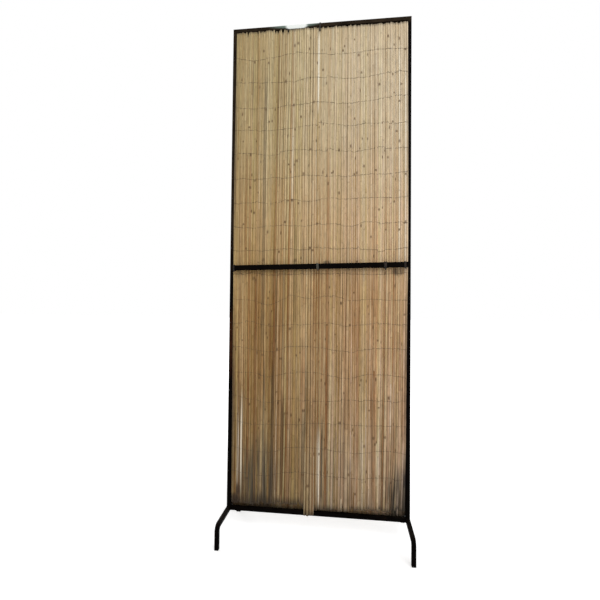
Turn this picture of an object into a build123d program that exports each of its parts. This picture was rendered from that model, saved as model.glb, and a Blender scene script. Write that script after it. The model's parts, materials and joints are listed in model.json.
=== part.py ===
from build123d import *
import os
from math import atan2, cos, degrees, exp, radians, tan
from random import Random

# A free-standing garden screen. A welded frame of square steel tube stands on two bent feet.
# A wired reed mat lies on each face of the frame, and a bar across the middle of each mat
# clamps it, with wire ties from bar to bar through both mats.
#
# Sizes are in millimetres. X runs across the screen, the front faces -Y, Z is up, and the
# origin is on the floor under the middle of the screen.

# Frame
panel_width = 732.0         # over the outer sides of the posts
panel_height = 2000.0       # bottom rail's underside to top rail's top
tube_side = 16.0
tube_wall = 1.5
tube_corner = 2.0           # outer corner radius of the tube's section
tube_inner_corner = 0.8

# Feet
rail_clearance = 77.0       # floor to the bottom rail's underside
foot_reach = 150.0          # screen's middle plane to a leg's centre line
foot_bend = 18.0            # bend radius on the tube's centre line
cap_flange = 3.0            # thickness of the cap below the tube's end
cap_depth = 12.0            # how far the cap's plug goes into the tube
cap_wall = 1.6
cap_edge = 1.0              # rounding of the cap's lower edge
cap_fit = 0.1               # gap between plug and tube, each side
cap_corner = 1.0            # corner radius of the plug

# Clamp bars across the middle
bar_side = 20.0
bar_wall = 1.5
bar_corner = 2.0
bar_inner_corner = 0.8
bar_height = 996.0          # bar's centre above the bottom rail's underside
bar_rise = 12.0             # how much higher the bar is at the right post than at the left
bar_end_gap = 9.0           # bar's end to the post's outer side

# Reed mats
reed_mean = 5.9             # average width of a reed
reed_spread = 0.42          # share by which a reed's width differs from the average, at most
reed_flatness = 0.95        # a reed's thickness, as a share of its width
reed_thin = 4.2             # thinnest reed
reed_thick = 8.0            # thickest reed, which the clamp bar bears on
neck_depth = 3.0            # frame's face to the middle of the web between two reeds
neck_thickness = 1.6
mat_edge_gap = 12.0         # mat's side edge to the post's outer side
gap_count = 70              # open slits between reeds, in each mat
gap_width = 1.2
gap_lengths = (140.0, 230.0, 340.0, 470.0)
gap_margin = 40.0           # least distance from a slit to the mat's ends

# Front mat's ends, measured from the rails
top_end_left = -6.0         # reed tops above the top rail's underside, at the left
top_end_right = -11.0
low_end_left = 17.0         # reed ends above the bottom rail's top, at the left edge
low_end_middle_left = 29.0
low_end_middle_right = 12.0
low_end_right = 31.0
cane_left = -52.0           # the stretch of long reeds that hang over the bottom rail
cane_right = -7.0
cane_end = 3.0              # their ends above the rail's underside

# Rear mat's ends
rear_top_end = -4.0
rear_low_end = -6.0         # above the bottom rail's top
foot_notch_gap = 2.0        # round the feet, where the mat's lower corners are cut away

# Binding wires
wire_diameter = 1.2
wire_pitch = 100.0          # from row to row
wire_bar_gap = 18.0         # clamp bar's underside to the first row below it
wire_end_margin = 45.0      # least distance from a row to the mat's ends
wire_points = 10            # points along one row
wire_scatter = 6.0
left_dip = 22.0             # sag of the rows left of the middle
left_dip_x = -222.0
left_dip_width = 60.0
right_dip = 9.0
right_dip_x = 130.0
right_dip_width = 70.0

# Ties
tie_diameter = 2.0
tie_bend = 2.5              # bend radius on the wire's centre line
tie_fit = 0.1               # gap between a tie and the bar's upper and lower sides
tie_hole = 3.4              # hole that a tie passes through in the mat
end_tie_inset = 9.0         # end ties, from the posts' inner sides
inner_tie_inset = 93.0      # inner right tie, from the bars' right ends
top_tie_drop = 21.0         # top rail's underside to the tie's lower run
top_tie_slope = 5.0         # height below the rail's underside where the tie leaves the mat

# Places worked out from the sizes
frame_half = tube_side / 2
post_x = panel_width / 2 - frame_half
foot_axis = rail_clearance + frame_half
rail_top = rail_clearance + tube_side
top_z = rail_clearance + panel_height
top_rail_under = top_z - tube_side
inner_width = panel_width - 2 * tube_side
mat_half = panel_width / 2 - mat_edge_gap
mat_face = frame_half + reed_thick
bar_y = mat_face + bar_side / 2
bar_mid_z = rail_clearance + bar_height
bar_half = panel_width / 2 - bar_end_gap
bar_angle = atan2(bar_rise, panel_width)
plug_side = tube_side - 2 * tube_wall - 2 * cap_fit

# A reed's half section: places across its width, and how far it has risen to its crown there
RIDGE_SHAPE = ((0.16, 0.7), (0.5, 1.0), (0.84, 0.7))

SIDES = ((-1, "left"), (1, "right"))
FACES = ((-1, "front"), (1, "rear"))

os.makedirs("parts", exist_ok=True)


def tube_section(side, wall, corner, inner_corner):
    """Hollow square section, drawn in the sketch in hand."""
    RectangleRounded(side, side, corner)
    hollow = side - 2 * wall
    RectangleRounded(hollow, hollow, inner_corner, mode=Mode.SUBTRACT)


def frame_section():
    tube_section(tube_side, tube_wall, tube_corner, tube_inner_corner)


def mitre(side):
    """Plane through a top corner at 45 degrees, its normal towards the top rail."""
    corner = (side * post_x, 0, top_z - frame_half)
    return Plane(origin=corner, z_dir=(-side, 0, 1))


def bar_z(x):
    """Height of the clamp bars' centre line."""
    return bar_mid_z + bar_rise * x / panel_width


# Posts and feet, left and right

for side, name in SIDES:
    with BuildPart() as post:
        with BuildSketch(Plane(origin=(side * post_x, 0, rail_top))):
            frame_section()
        extrude(amount=top_z - rail_top)
        split(bisect_by=mitre(side), keep=Keep.BOTTOM)
    post.part.label = f"{name}_post"
    export_step(post.part, f"parts/{name}_post.step")

    with BuildPart() as foot:
        with BuildLine(Plane.YZ.offset(side * post_x)):
            FilletPolyline(
                (-foot_reach, cap_flange),
                (-foot_reach, foot_axis),
                (foot_reach, foot_axis),
                (foot_reach, cap_flange),
                radius=foot_bend,
            )
        with BuildSketch(Plane(origin=(side * post_x, -foot_reach, cap_flange))):
            frame_section()
        sweep()
    foot.part.label = f"{name}_foot"
    export_step(foot.part, f"parts/{name}_foot.step")

    # A plastic cap closes each leg: a plate under the tube's end and a hollow plug in it
    for end, face_name in FACES:
        cap_x = side * post_x
        cap_y = end * foot_reach
        with BuildPart() as cap:
            with BuildSketch(Plane(origin=(cap_x, cap_y, 0))):
                RectangleRounded(tube_side, tube_side, tube_corner)
            extrude(amount=cap_flange)
            fillet(cap.edges().group_by(Axis.Z)[0], cap_edge)
            with BuildSketch(Plane(origin=(cap_x, cap_y, cap_flange))):
                tube_section(plug_side, cap_wall, cap_corner, cap_corner / 2)
            extrude(amount=cap_depth)
        cap.part.label = f"{name}_{face_name}_foot_cap"
        export_step(cap.part, f"parts/{name}_{face_name}_foot_cap.step")

# Rails

with BuildPart() as top_rail:
    with BuildSketch(Plane(origin=(-panel_width / 2, 0, top_z - frame_half), z_dir=(1, 0, 0))):
        frame_section()
    extrude(amount=panel_width)
    for side, name in SIDES:
        split(bisect_by=mitre(side), keep=Keep.TOP)
top_rail.part.label = "top_rail"
export_step(top_rail.part, "parts/top_rail.step")

with BuildPart() as bottom_rail:
    with BuildSketch(Plane(origin=(-inner_width / 2, 0, foot_axis), z_dir=(1, 0, 0))):
        frame_section()
    extrude(amount=inner_width)
bottom_rail.part.label = "bottom_rail"
export_step(bottom_rail.part, "parts/bottom_rail.step")

# Clamp bars, one on each mat, not quite level

for face, name in FACES:
    bar_start = (-bar_half, face * bar_y, bar_z(-bar_half))
    bar_axis = (cos(bar_angle), 0, bar_rise / panel_width * cos(bar_angle))
    with BuildPart() as bar:
        with BuildSketch(Plane(origin=bar_start, x_dir=(0, 1, 0), z_dir=bar_axis)):
            tube_section(bar_side, bar_wall, bar_corner, bar_inner_corner)
        extrude(amount=2 * bar_half / cos(bar_angle))
    bar.part.label = f"{name}_clamp_bar"
    export_step(bar.part, f"parts/{name}_clamp_bar.step")

# Wire ties: four round the clamp bars and one round the top rail

end_tie_x = inner_width / 2 - end_tie_inset
bar_ties = {
    "left": -end_tie_x,
    "centre": 0.0,
    "inner_right": bar_half - inner_tie_inset,
    "right": end_tie_x,
}
top_tie_x = 0.0
tie_radius = tie_diameter / 2


def tie_reach():
    """Height of a bar tie's upper and lower runs from the bar's centre line."""
    return bar_side / 2 / cos(bar_angle) + tie_fit + tie_radius


def loop_of_wire(x, corners):
    """Closed loop of tie wire in the plane across the screen at x."""
    with BuildPart() as loop:
        with BuildLine(Plane.YZ.offset(x)) as path:
            FilletPolyline(*corners, radius=tie_bend, close=True)
        with BuildSketch(Plane(origin=path.line @ 0, z_dir=path.line % 0)):
            Circle(tie_radius)
        sweep()
    return loop


for name, x in bar_ties.items():
    tie_y = bar_y + bar_side / 2 + tie_radius
    low = bar_z(x) - tie_reach()
    high = bar_z(x) + tie_reach()
    tie = loop_of_wire(x, ((-tie_y, low), (-tie_y, high), (tie_y, high), (tie_y, low)))
    tie.part.label = f"{name}_bar_tie"
    export_step(tie.part, f"parts/{name}_bar_tie.step")

tie_outer = mat_face + tie_radius
tie_over = frame_half + tie_radius
top_tie_low = top_rail_under - top_tie_drop
top_tie_bend = top_rail_under - top_tie_slope
top_tie_high = top_z + tie_radius
top_tie = loop_of_wire(
    top_tie_x,
    (
        (-tie_outer, top_tie_low),
        (-tie_outer, top_tie_bend),
        (-tie_over, top_tie_high),
        (tie_over, top_tie_high),
        (tie_outer, top_tie_bend),
        (tie_outer, top_tie_low),
    ),
)
top_tie.part.label = "top_tie"
export_step(top_tie.part, "parts/top_tie.step")

# Reed mats: ridges side by side in one wall, slit between many of the reeds


def reed_boundaries(rng):
    """Where each reed starts and the last one ends, from left to right."""
    count = round(2 * mat_half / reed_mean)
    widths = [1 + rng.uniform(-reed_spread, reed_spread) for _ in range(count)]
    scale = 2 * mat_half / sum(widths)
    edges = [-mat_half]
    for width in widths:
        edges.append(edges[-1] + width * scale)
    return edges


def ridges(edges, neck, crown):
    """One side of the wall's section: a ridge over each reed, from the first edge to the last.

    neck is the depth of the web between two reeds, and crown gives a reed's depth by its width.
    """
    points = [(edges[0], neck)]
    for left, right in zip(edges, edges[1:]):
        width = right - left
        for across, rise in RIDGE_SHAPE:
            points.append((left + across * width, neck + rise * (crown(width) - neck)))
        points.append((right, neck))
    return points


def reed_depth(width):
    return min(max(width * reed_flatness, reed_thin), reed_thick)


def frame_side(width):
    return 0.0


def reed_mat(face, rng, outline):
    """One mat: its ridged section, kept inside its outline as seen from the front."""
    edges = reed_boundaries(rng)
    outer = ridges(edges, neck_depth + neck_thickness / 2, reed_depth)
    inner = ridges(edges, neck_depth - neck_thickness / 2, frame_side)
    section = [(x, face * (frame_half + depth)) for x, depth in outer + inner[::-1]]

    heights = [z for x, z in outline]
    slit_low = rail_top + low_end_right + gap_margin
    slit_high = max(heights) - gap_margin
    slits = {length: [] for length in gap_lengths}
    for index in sorted(rng.sample(range(1, len(edges) - 1), min(gap_count, len(edges) - 2))):
        length = rng.choice(gap_lengths)
        middle = rng.uniform(slit_low + length / 2, slit_high - length / 2)
        slits[length].append((edges[index], middle))
    holes = [(x, bar_z(x) + end * tie_reach()) for x in bar_ties.values() for end in (-1, 1)]
    holes.append((top_tie_x, top_tie_low))

    with BuildPart() as mat:
        with BuildSketch():
            with BuildLine():
                Polyline(*section, close=True)
            make_face()
        extrude(amount=top_z)
        with BuildSketch(Plane.XZ):
            with BuildLine():
                Polyline(*outline, close=True)
            make_face()
            for length, places in slits.items():
                with Locations(*places):
                    Rectangle(gap_width, length, mode=Mode.SUBTRACT)
            with Locations(*holes):
                Rectangle(tie_hole, tie_hole, mode=Mode.SUBTRACT)
        extrude(amount=mat_face, both=True, mode=Mode.INTERSECT)
    return mat


front_outline = (
    (-mat_half, rail_top + low_end_left),
    (cane_left, rail_top + low_end_middle_left),
    (cane_left, rail_clearance + cane_end),
    (cane_right, rail_clearance + cane_end),
    (cane_right, rail_top + low_end_middle_right),
    (mat_half, rail_top + low_end_right),
    (mat_half, top_rail_under + top_end_right),
    (-mat_half, top_rail_under + top_end_left),
)
notch_x = inner_width / 2 - foot_notch_gap
notch_z = rail_top + foot_notch_gap
rear_outline = (
    (-notch_x, rail_top + rear_low_end),
    (notch_x, rail_top + rear_low_end),
    (notch_x, notch_z),
    (mat_half, notch_z),
    (mat_half, top_rail_under + rear_top_end),
    (-mat_half, top_rail_under + rear_top_end),
    (-mat_half, notch_z),
    (-notch_x, notch_z),
)

front_mat = reed_mat(-1, Random(11), front_outline)
front_mat.part.label = "front_mat"
export_step(front_mat.part, "parts/front_mat.step")

rear_mat = reed_mat(1, Random(23), rear_outline)
rear_mat.part.label = "rear_mat"
export_step(rear_mat.part, "parts/rear_mat.step")

# Binding wires, a row about every hand's breadth up both mats

row_base = bar_mid_z - bar_side / 2 - wire_bar_gap
rows_below = int((row_base - rail_top - low_end_right - wire_end_margin) // wire_pitch)
rows_above = int((top_rail_under - wire_end_margin - row_base) // wire_pitch)


def dip(x, centre, width):
    return exp(-(((x - centre) / width) ** 2))


def wire_row(z, rng):
    """Points of one row, sagging where the mat sags."""
    slack = rng.uniform(0.4, 1.1)
    points = []
    for step in range(wire_points):
        x = -mat_half + 2 * mat_half * step / (wire_points - 1)
        sag = left_dip * dip(x, left_dip_x, left_dip_width)
        sag += right_dip * dip(x, right_dip_x, right_dip_width)
        points.append((x, z - slack * sag + rng.uniform(-wire_scatter, wire_scatter)))
    return points


def bend_radii(points):
    """Largest even bends: 0.45 of the shorter run on each side of every corner."""
    radii = []
    for before, corner, after in zip(points, points[1:], points[2:]):
        run_in = Vector(*corner) - Vector(*before)
        run_out = Vector(*after) - Vector(*corner)
        half_turn = radians(run_in.get_angle(run_out)) / 2
        radii.append(0.45 * min(run_in.length, run_out.length) / tan(half_turn))
    return radii


for face, name in FACES:
    rng = Random(40 + face)
    for row in range(-rows_below, rows_above + 1):
        points = wire_row(row_base + row * wire_pitch, rng)
        with BuildPart() as wire:
            with BuildLine(Plane.XZ.offset(-face * (mat_face + wire_diameter / 2))) as path:
                FilletPolyline(*points, radius=bend_radii(points))
            with BuildSketch(Plane(origin=path.line @ 0, z_dir=path.line % 0)):
                Circle(wire_diameter / 2)
            sweep()
        wire_name = f"{name}_binding_wire_{row + rows_below + 1:02d}"
        wire.part.label = wire_name
        export_step(wire.part, f"parts/{wire_name}.step")
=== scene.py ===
import json
from math import cos, exp, pi, radians, sin
from random import Random

import bpy
import numpy as np
from mathutils import Matrix, Vector


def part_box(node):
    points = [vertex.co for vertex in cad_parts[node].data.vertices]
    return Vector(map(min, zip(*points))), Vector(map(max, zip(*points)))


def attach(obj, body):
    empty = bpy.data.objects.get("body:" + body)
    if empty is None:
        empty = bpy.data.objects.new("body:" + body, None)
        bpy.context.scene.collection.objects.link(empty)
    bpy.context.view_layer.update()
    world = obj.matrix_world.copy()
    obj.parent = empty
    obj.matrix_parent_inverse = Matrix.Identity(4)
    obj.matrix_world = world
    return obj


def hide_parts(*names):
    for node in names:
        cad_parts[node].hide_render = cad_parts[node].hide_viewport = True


# The looks of a free-standing screen of reed mats on a black tube frame. Metres, as in the frame.

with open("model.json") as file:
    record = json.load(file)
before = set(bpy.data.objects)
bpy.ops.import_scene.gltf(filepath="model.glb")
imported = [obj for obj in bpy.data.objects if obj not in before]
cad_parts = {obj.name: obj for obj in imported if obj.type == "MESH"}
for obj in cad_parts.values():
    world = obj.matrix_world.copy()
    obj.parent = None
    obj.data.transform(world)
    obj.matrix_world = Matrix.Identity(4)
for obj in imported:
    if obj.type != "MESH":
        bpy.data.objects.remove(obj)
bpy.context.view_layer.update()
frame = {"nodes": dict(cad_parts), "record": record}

BODY = "root"
FRONT, REAR = -1, 1          # sides of the screen, along Y

# Camera, at the photograph's viewpoint: in front of the screen's right half, at waist height
CAMERA_PLACE = (0.1267, -1.6258, 0.8977)
CAMERA_YAW = -7.00           # degrees to the right of +Y
CAMERA_PITCH = 1.42
CAMERA_ROLL = 0.58
CAMERA_LENS = 24.12          # mm
CAMERA_SENSOR = 36           # mm, the picture's width

# Lamps: place, the point it aims at, size and power
KEY_LAMP = ((1.5, -2.3, 2.9), (0.1, 0, 1.5), 2.4, 62.0)
FILL_LAMP = ((-2.4, 2.4, 2.4), (0, 0, 1.0), 2.0, 22.0)
WORLD_LIGHT = 0.60

# Floor
FLOOR_HALF = 40.0
FLOOR_GLOW = 0.49            # white added to the floor at the screen's foot
GLOW_REACH = (0.45, 1.7)     # between these distances it grows to full white

# Sizes shared with the solids
TUBE = 0.016
FRAME_HALF = TUBE / 2
PANEL_HALF = 0.366
PANEL_HEIGHT = 2.0
RAIL_UNDER = 0.077
RAIL_TOP = RAIL_UNDER + TUBE
TOP_RAIL_UNDER = RAIL_UNDER + PANEL_HEIGHT - TUBE
MAT_EDGE_GAP = 0.012
MAT_HALF = PANEL_HALF - MAT_EDGE_GAP
REED_THICK = 0.008
BAR_SIDE = 0.020
BAR_HEIGHT = 0.996           # of the clamp bars' middle above the bottom rail's underside
BAR_MID = RAIL_UNDER + BAR_HEIGHT
BAR_RISE = 0.012             # how much higher the bars are at the right post than at the left
BAR_Y = FRAME_HALF + REED_THICK + BAR_SIDE / 2


def bar_z(x):
    """Height of the clamp bars' centre line."""
    return BAR_MID + BAR_RISE * x / (2 * PANEL_HALF)


# Camera


def add_camera():
    yaw, pitch, roll = (radians(a) for a in (CAMERA_YAW, CAMERA_PITCH, CAMERA_ROLL))
    ahead = Vector((sin(yaw) * cos(pitch), cos(yaw) * cos(pitch), sin(pitch)))
    level = Vector((cos(yaw), -sin(yaw), 0))
    upright = level.cross(ahead)
    right = level * cos(roll) + upright * sin(roll)
    up = upright * cos(roll) - level * sin(roll)
    data = bpy.data.cameras.new("camera")
    data.lens = CAMERA_LENS
    data.sensor_width = CAMERA_SENSOR
    camera = bpy.data.objects.new("camera", data)
    matrix = Matrix((right, up, -ahead)).transposed().to_4x4()
    matrix.translation = CAMERA_PLACE
    camera.matrix_world = matrix
    bpy.context.scene.collection.objects.link(camera)
    bpy.context.scene.camera = camera


add_camera()


# Helpers for node materials


def new_tree(name):
    material = bpy.data.materials.new(name)
    material.use_nodes = True
    material.node_tree.nodes.clear()
    return material, material.node_tree


def node(tree, kind, inputs=None, **settings):
    """A node of that kind. An input that is a socket is linked, and any other is a value."""
    made = tree.nodes.new(kind)
    for key, value in settings.items():
        setattr(made, key, value)
    for key, value in (inputs or {}).items():
        if isinstance(value, bpy.types.NodeSocket):
            tree.links.new(value, made.inputs[key])
        else:
            made.inputs[key].default_value = value
    return made


def math_node(tree, operation, a, b=0.0, clamp=False):
    return node(tree, "ShaderNodeMath", {0: a, 1: b}, operation=operation, use_clamp=clamp).outputs[0]


def times(tree, *factors):
    """Product of sockets and numbers."""
    total = factors[0]
    for factor in factors[1:]:
        total = math_node(tree, "MULTIPLY", total, factor)
    return total


def mix_colour(tree, factor, a, b, blend="MIX"):
    made = node(tree, "ShaderNodeMix", data_type="RGBA", blend_type=blend)
    for socket, value in ((0, factor), (6, a), (7, b)):
        if isinstance(value, bpy.types.NodeSocket):
            tree.links.new(value, made.inputs[socket])
        else:
            made.inputs[socket].default_value = value
    return made.outputs[2]


def shade_by(tree, colour, level):
    """The colour made lighter or darker by a level."""
    grey = node(tree, "ShaderNodeCombineColor", {0: level, 1: level, 2: level}).outputs[0]
    return mix_colour(tree, 1.0, colour, grey, "MULTIPLY")


def ramp(tree, factor, stops):
    """Colour ramp with (place, colour) stops."""
    made = node(tree, "ShaderNodeValToRGB", {0: factor})
    elements = made.color_ramp.elements
    while len(elements) < len(stops):
        elements.new(0.5)
    for element, (place, colour) in zip(elements, stops):
        element.position = place
        element.color = (*colour, 1.0)
    return made.outputs[0]


def map_range(tree, value, low, high, to_low=0.0, to_high=1.0, smooth=False):
    kind = "SMOOTHSTEP" if smooth else "LINEAR"
    sockets = {0: value, 1: low, 2: high, 3: to_low, 4: to_high}
    return node(tree, "ShaderNodeMapRange", sockets, interpolation_type=kind).outputs[0]


def attribute(tree, name):
    return node(tree, "ShaderNodeAttribute", attribute_name=name).outputs["Fac"]


def object_place(tree):
    return node(tree, "ShaderNodeTexCoord").outputs["Object"]


def stretched(tree, scale, shift=None):
    """The object's own coordinates, scaled along each axis, and moved along by a value."""
    mapped = node(tree, "ShaderNodeMapping", {0: object_place(tree), 3: scale}).outputs[0]
    if shift is None:
        return mapped
    moved = node(tree, "ShaderNodeCombineXYZ", {0: shift, 1: shift, 2: shift}).outputs[0]
    return node(tree, "ShaderNodeVectorMath", {0: mapped, 1: moved}, operation="ADD").outputs[0]


def noise(tree, vector, scale=1.0, detail=3.0, roughness=0.55):
    sockets = {"Vector": vector, "Scale": scale, "Detail": detail, "Roughness": roughness}
    return node(tree, "ShaderNodeTexNoise", sockets).outputs[0]


def blob(tree, centre, radius):
    """1 at a place across the screen's face, falling to 0 at the radius, as (x, z) pairs."""
    split = node(tree, "ShaderNodeSeparateXYZ", {0: object_place(tree)})
    total = None
    for axis, middle, reach in zip((0, 2), centre, radius):
        offset = math_node(tree, "SUBTRACT", split.outputs[axis], middle)
        offset = math_node(tree, "DIVIDE", offset, reach)
        square = math_node(tree, "MULTIPLY", offset, offset)
        total = square if total is None else math_node(tree, "ADD", total, square)
    return map_range(tree, total, 0.0, 1.0, 1.0, 0.0, smooth=True)


def finish_shader(tree, sockets):
    shader = node(tree, "ShaderNodeBsdfPrincipled", sockets)
    node(tree, "ShaderNodeOutputMaterial", {0: shader.outputs[0]})


def bump(tree, height, strength, distance):
    sockets = {"Height": height, "Strength": strength, "Distance": distance}
    return node(tree, "ShaderNodeBump", sockets).outputs[0]


# Stage: white ground that keeps the screen's shadow, white surroundings, soft lamps


def seen_directly(tree):
    """1 for camera, glossy and transmission rays."""
    path = node(tree, "ShaderNodeLightPath")
    total = math_node(tree, "ADD", path.outputs["Is Camera Ray"], path.outputs["Is Glossy Ray"])
    return math_node(tree, "ADD", total, path.outputs["Is Transmission Ray"], clamp=True)


def add_floor():
    corners = [(x * FLOOR_HALF, y * FLOOR_HALF, 0) for x, y in ((-1, -1), (1, -1), (1, 1), (-1, 1))]
    mesh = bpy.data.meshes.new("floor")
    mesh.from_pydata(corners, [], [(0, 1, 2, 3)])
    floor = bpy.data.objects.new("floor", mesh)
    bpy.context.scene.collection.objects.link(floor)
    material, tree = new_tree("floor_white")
    grain = noise(tree, stretched(tree, (9, 9, 9)), 1.0, 2.0)
    colour = ramp(tree, grain, ((0.3, (0.80, 0.80, 0.80)), (0.7, (0.83, 0.83, 0.83))))
    matt = node(tree, "ShaderNodeBsdfDiffuse", {0: colour})
    reach = node(tree, "ShaderNodeVectorMath", {0: object_place(tree)}, operation="LENGTH").outputs["Value"]
    near = map_range(tree, reach, *GLOW_REACH, FLOOR_GLOW, 1.0, smooth=True)
    white = node(tree, "ShaderNodeEmission", {0: (1, 1, 1, 1), 1: times(tree, seen_directly(tree), near)})
    both = node(tree, "ShaderNodeAddShader", {0: matt.outputs[0], 1: white.outputs[0]})
    node(tree, "ShaderNodeOutputMaterial", {0: both.outputs[0]})
    mesh.materials.append(material)


def add_world():
    world = bpy.data.worlds.new("white_surroundings")
    world.use_nodes = True
    tree = world.node_tree
    tree.nodes.clear()
    lit = times(tree, seen_directly(tree), 1.0 - WORLD_LIGHT)
    strength = math_node(tree, "ADD", lit, WORLD_LIGHT)
    back = node(tree, "ShaderNodeBackground", {0: (1, 1, 1, 1), 1: strength})
    node(tree, "ShaderNodeOutputWorld", {0: back.outputs[0]})
    bpy.context.scene.world = world


def add_lamp(name, place, target, size, power):
    data = bpy.data.lights.new(name, "AREA")
    data.size = size
    data.energy = power
    lamp = bpy.data.objects.new(name, data)
    lamp.location = place
    aim = Vector(target) - Vector(place)
    lamp.rotation_euler = aim.to_track_quat("-Z", "Y").to_euler()
    bpy.context.scene.collection.objects.link(lamp)


add_floor()
add_world()
add_lamp("key_lamp", *KEY_LAMP)
add_lamp("fill_lamp", *FILL_LAMP)
bpy.context.scene.view_settings.view_transform = "Standard"


# Reeds. A gradient is (place, colour) stops. A patch is a centre and a radius, as (x, z) pairs,
# and a strength.

CANE_SHIFT = 7.3             # how far the noise moves along from one cane to the next
SLOW_SHIFT = 3.1
STRAW = (
    (0.00, (0.340, 0.212, 0.105)),
    (0.20, (0.471, 0.344, 0.206)),
    (0.45, (0.570, 0.458, 0.316)),
    (0.65, (0.630, 0.522, 0.382)),
    (0.85, (0.680, 0.590, 0.470)),
    (1.00, (0.770, 0.700, 0.610)),
)
TINTS = (
    (0.00, (0.95, 0.95, 0.76)),
    (0.30, (0.98, 0.96, 0.88)),
    (0.60, (1.00, 0.95, 0.93)),
    (0.85, (1.00, 0.91, 0.92)),
    (1.00, (1.00, 0.86, 0.74)),
)

# Up the screen, from the floor to a little above its top
UP_REACH = 2.1
AGED_AND_LIT_UP = (                  # dull at the foot and golden about the clamp bar; lighter at the top, partly bleached and partly painted light from above
    (0.12, (0.880, 0.870, 0.830)),
    (0.29, (0.930, 0.850, 0.725)),
    (0.44, (0.950, 0.835, 0.665)),
    (0.60, (1.000, 0.915, 0.816)),
    (0.75, (0.971, 0.972, 0.936)),
    (0.90, (0.971, 1.000, 1.000)),
)
BLOND_UP = (
    (0.15, (0.740, 0.650, 0.500)),
    (0.45, (0.800, 0.720, 0.580)),
    (0.85, (0.900, 0.845, 0.715)),
)

# Across the screen, from left to right
SIDE_REACH = 0.36
# Painted light from the right: darker and yellower at the left, full at the right
SIDE_LIGHT_ACROSS = (
    (0.16, (0.750, 0.704, 0.523)),
    (0.50, (0.898, 0.878, 0.785)),
    (0.84, (1.000, 1.000, 1.000)),
)
LOW_ACROSS = (               # over and above that, in the lower half
    (0.16, (0.985, 0.975, 0.950)),
    (0.50, (0.980, 0.975, 0.980)),
    (0.84, (1.110, 1.120, 1.190)),
)

FADED = (0.70, 0.63, 0.52, 1)
BROWNING = (0.62, 0.48, 0.36, 1)       # by which the colour is multiplied below the bar
FLECK = (0.14, 0.09, 0.05, 1)
RUSTY = (0.22, 0.095, 0.025, 1)
# Painted shade on single canes that sit back in the mat
SHADED_CANE = (0.060, 0.044, 0.020, 1)
JOINT = (0.11, 0.057, 0.022, 1)
MOULD = (0.056, 0.049, 0.036, 1)
# Stains with painted shade, beside the posts and in the lower left corner
STAIN_AND_SHADE = (0.050, 0.027, 0.014, 1)
# Painted shade in the lower right corner, soot by the clamp bar
SOOT_AND_SHADE = (0.020, 0.014, 0.010, 1)
# Canes darker towards their lower cut ends
DARK_LOW_END = (0.040, 0.028, 0.018, 1)
# Painted shade on the canes' top ends under the top rail
SHADED_TOP = (0.060, 0.045, 0.030, 1)
# Painted shade inside the hollow cut ends
HOLLOW_SHADE = (0.03, 0.02, 0.012, 1)

MOULD_PATCHES = (
    ((-0.235, 0.20), (0.095, 0.23), 0.90),
    ((0.325, 0.155), (0.080, 0.16), 1.00),
)
STAIN_AND_SHADE_PATCHES = (            # stains and painted shade along the posts, and in the lower left corner
    ((0.358, 0.60), (0.020, 0.60), 0.85),
    ((0.358, 1.70), (0.012, 0.60), 0.60),
    ((-0.358, 0.50), (0.030, 0.62), 0.90),
    ((-0.358, 1.60), (0.020, 0.70), 0.75),
    ((-0.335, 0.125), (0.035, 0.035), 0.85),
    ((-0.318, 0.165), (0.012, 0.035), 0.90),
)
SOOT_AND_SHADE_PATCHES = (             # painted shade in the lower right corner, and soot by the clamp bar
    ((0.352, 0.20), (0.026, 0.18), 1.00),
    ((0.036, 1.089), (0.022, 0.011), 0.90),
    ((0.315, 1.052), (0.032, 0.020), 0.75),
)


def strongest(tree, patches):
    total = None
    for centre, radius, strength in patches:
        patch = times(tree, blob(tree, centre, radius), strength)
        total = patch if total is None else math_node(tree, "MAXIMUM", total, patch)
    return total


def cane_noise(tree, each, scale, detail=3.0, roughness=0.55, shift=CANE_SHIFT):
    """Noise that differs from one value of an attribute to the next."""
    moved = times(tree, attribute(tree, each), shift)
    return noise(tree, stretched(tree, scale, moved), 1.0, detail, roughness)


def own_colour(tree, across, height):
    """Each cane's straw colour, which drifts along it and from one group of canes to the next."""
    slow = cane_noise(tree, "cane", (8, 8, 2.5), 2.0, shift=SLOW_SHIFT)
    drift = math_node(tree, "SUBTRACT", slow, 0.5)
    drift = times(tree, drift, map_range(tree, height, 0.9, 1.3, 0.80, 0.32))

    # The groups differ more at the left and in the lower half
    broad = noise(tree, stretched(tree, (17, 17, 1.5)), 1.0, 2.0)
    groups = math_node(tree, "SUBTRACT", broad, 0.5)
    at_left = map_range(tree, across, -0.28, 0.0, 1.8, 1.0)
    groups = times(tree, groups, at_left, map_range(tree, height, 1.05, 1.10, 1.2, 0.45))

    tone = math_node(tree, "ADD", attribute(tree, "tone"), drift)
    tone = math_node(tree, "ADD", tone, groups, clamp=True)
    tint = ramp(tree, attribute(tree, "warmth"), TINTS)
    return mix_colour(tree, 1.0, ramp(tree, tone, STRAW), tint, "MULTIPLY")


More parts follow.
